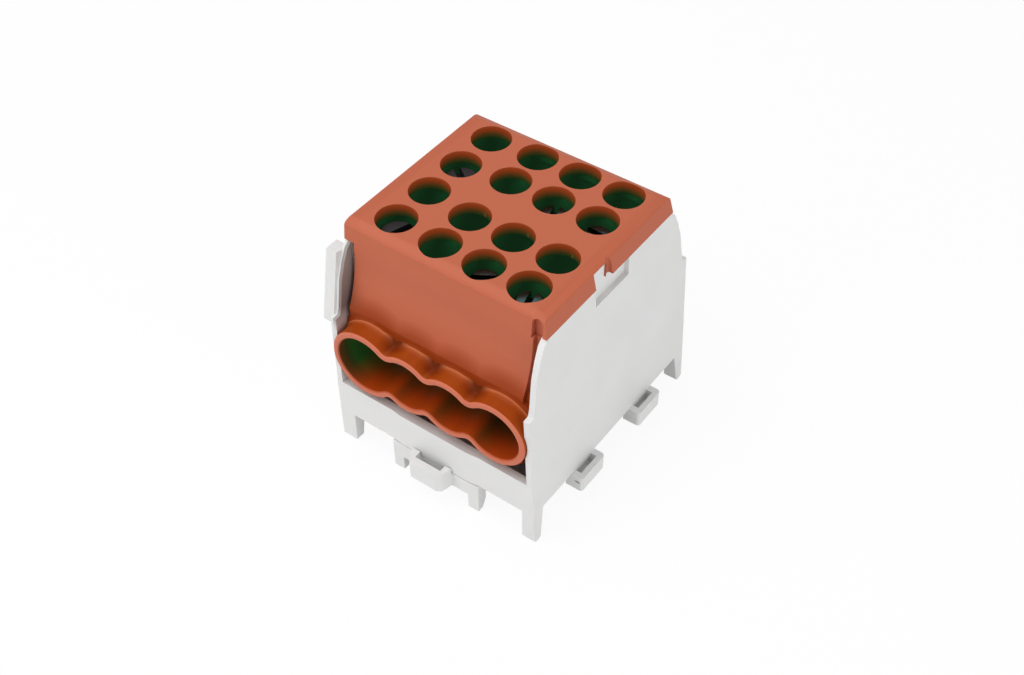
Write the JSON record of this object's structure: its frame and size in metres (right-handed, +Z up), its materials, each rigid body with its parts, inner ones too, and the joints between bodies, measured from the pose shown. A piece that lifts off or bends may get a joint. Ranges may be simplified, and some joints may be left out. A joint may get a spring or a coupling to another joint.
{
  "type": "power distribution block",
  "caption": "Rail-mounted power distribution block: moulded cover with screwdriver holes and wavy entry collars, metal clamping block, base with sliding rail latch.",
  "frame": {"origin": "centre of the rail seat, on the lower edges of the ribs under the base's floor", "axes": "+Z up, away from the rail towards the screw holes. X runs along the rail, with the side loops towards +X. +Y points to the back, and the latch is at the front, towards -Y"},
  "size_m": [0.0502, 0.0559, 0.0504],
  "materials": {
    "grey_plastic": "light grey moulded plastic, fine satin grain",
    "brown_plastic": "red-brown moulded plastic, satin",
    "plated_metal": "nickel plated, machined",
    "zinc_steel": "bright zinc plated",
    "dark_steel": "dark blackened"
  },
  "bodies": {
    "housing": {"base_housing": "grey_plastic", "cover": "brown_plastic", "terminal_block": "plated_metal"},
    "latch": {"rail_latch": "grey_plastic"},
    "clamp_a1": {"screw_a1": "dark_steel"},
    "clamp_b1": {"screw_b1": "dark_steel"},
    "clamp_c1": {"screw_c1": "dark_steel"},
    "clamp_d1": {"screw_d1": "dark_steel"},
    "clamp_a2": {"screw_a2": "zinc_steel"},
    "clamp_b2": {"screw_b2": "zinc_steel"},
    "clamp_c2": {"screw_c2": "zinc_steel"},
    "clamp_d2": {"screw_d2": "zinc_steel"},
    "clamp_a3": {"screw_a3": "zinc_steel"},
    "clamp_b3": {"screw_b3": "zinc_steel"},
    "clamp_c3": {"screw_c3": "zinc_steel"},
    "clamp_d3": {"screw_d3": "zinc_steel"},
    "clamp_a4": {"screw_a4": "zinc_steel"},
    "clamp_b4": {"screw_b4": "zinc_steel"},
    "clamp_c4": {"screw_c4": "zinc_steel"},
    "clamp_d4": {"screw_d4": "zinc_steel"}
  },
  "joints": [
    {"name": "latch_slide", "type": "slide", "parent": "housing", "child": "latch", "axis": [0, -1, 0], "range_m": [0, 0.003]},
    {"name": "travel_a1", "type": "slide", "parent": "housing", "child": "clamp_a1", "axis": [0, 0, 1], "range_m": [-0.0141, 0]},
    {"name": "travel_b1", "type": "slide", "parent": "housing", "child": "clamp_b1", "axis": [0, 0, 1], "range_m": [-0.0078, 0.0063]},
    {"name": "travel_c1", "type": "slide", "parent": "housing", "child": "clamp_c1", "axis": [0, 0, 1], "range_m": [-0.0141, 0]},
    {"name": "travel_d1", "type": "slide", "parent": "housing", "child": "clamp_d1", "axis": [0, 0, 1], "range_m": [-0.0078, 0.0063]},
    {"name": "travel_a2", "type": "slide", "parent": "housing", "child": "clamp_a2", "axis": [0, 0, 1], "range_m": [-0.0068, 0.0066]},
    {"name": "travel_b2", "type": "slide", "parent": "housing", "child": "clamp_b2", "axis": [0, 0, 1], "range_m": [-0.0068, 0.0066]},
    {"name": "travel_c2", "type": "slide", "parent": "housing", "child": "clamp_c2", "axis": [0, 0, 1], "range_m": [-0.0068, 0.0066]},
    {"name": "travel_d2", "type": "slide", "parent": "housing", "child": "clamp_d2", "axis": [0, 0, 1], "range_m": [-0.0068, 0.0066]},
    {"name": "travel_a3", "type": "slide", "parent": "housing", "child": "clamp_a3", "axis": [0, 0, 1], "range_m": [-0.0134, 0]},
    {"name": "travel_b3", "type": "slide", "parent": "housing", "child": "clamp_b3", "axis": [0, 0, 1], "range_m": [-0.0068, 0.0066]},
    {"name": "travel_c3", "type": "slide", "parent": "housing", "child": "clamp_c3", "axis": [0, 0, 1], "range_m": [-0.0134, 0]},
    {"name": "travel_d3", "type": "slide", "parent": "housing", "child": "clamp_d3", "axis": [0, 0, 1], "range_m": [-0.0068, 0.0066]},
    {"name": "travel_a4", "type": "slide", "parent": "housing", "child": "clamp_a4", "axis": [0, 0, 1], "range_m": [-0.0134, 0]},
    {"name": "travel_b4", "type": "slide", "parent": "housing", "child": "clamp_b4", "axis": [0, 0, 1], "range_m": [-0.0068, 0.0066]},
    {"name": "travel_c4", "type": "slide", "parent": "housing", "child": "clamp_c4", "axis": [0, 0, 1], "range_m": [-0.0134, 0]},
    {"name": "travel_d4", "type": "slide", "parent": "housing", "child": "clamp_d4", "axis": [0, 0, 1], "range_m": [-0.0068, 0.0066]}
  ]
}
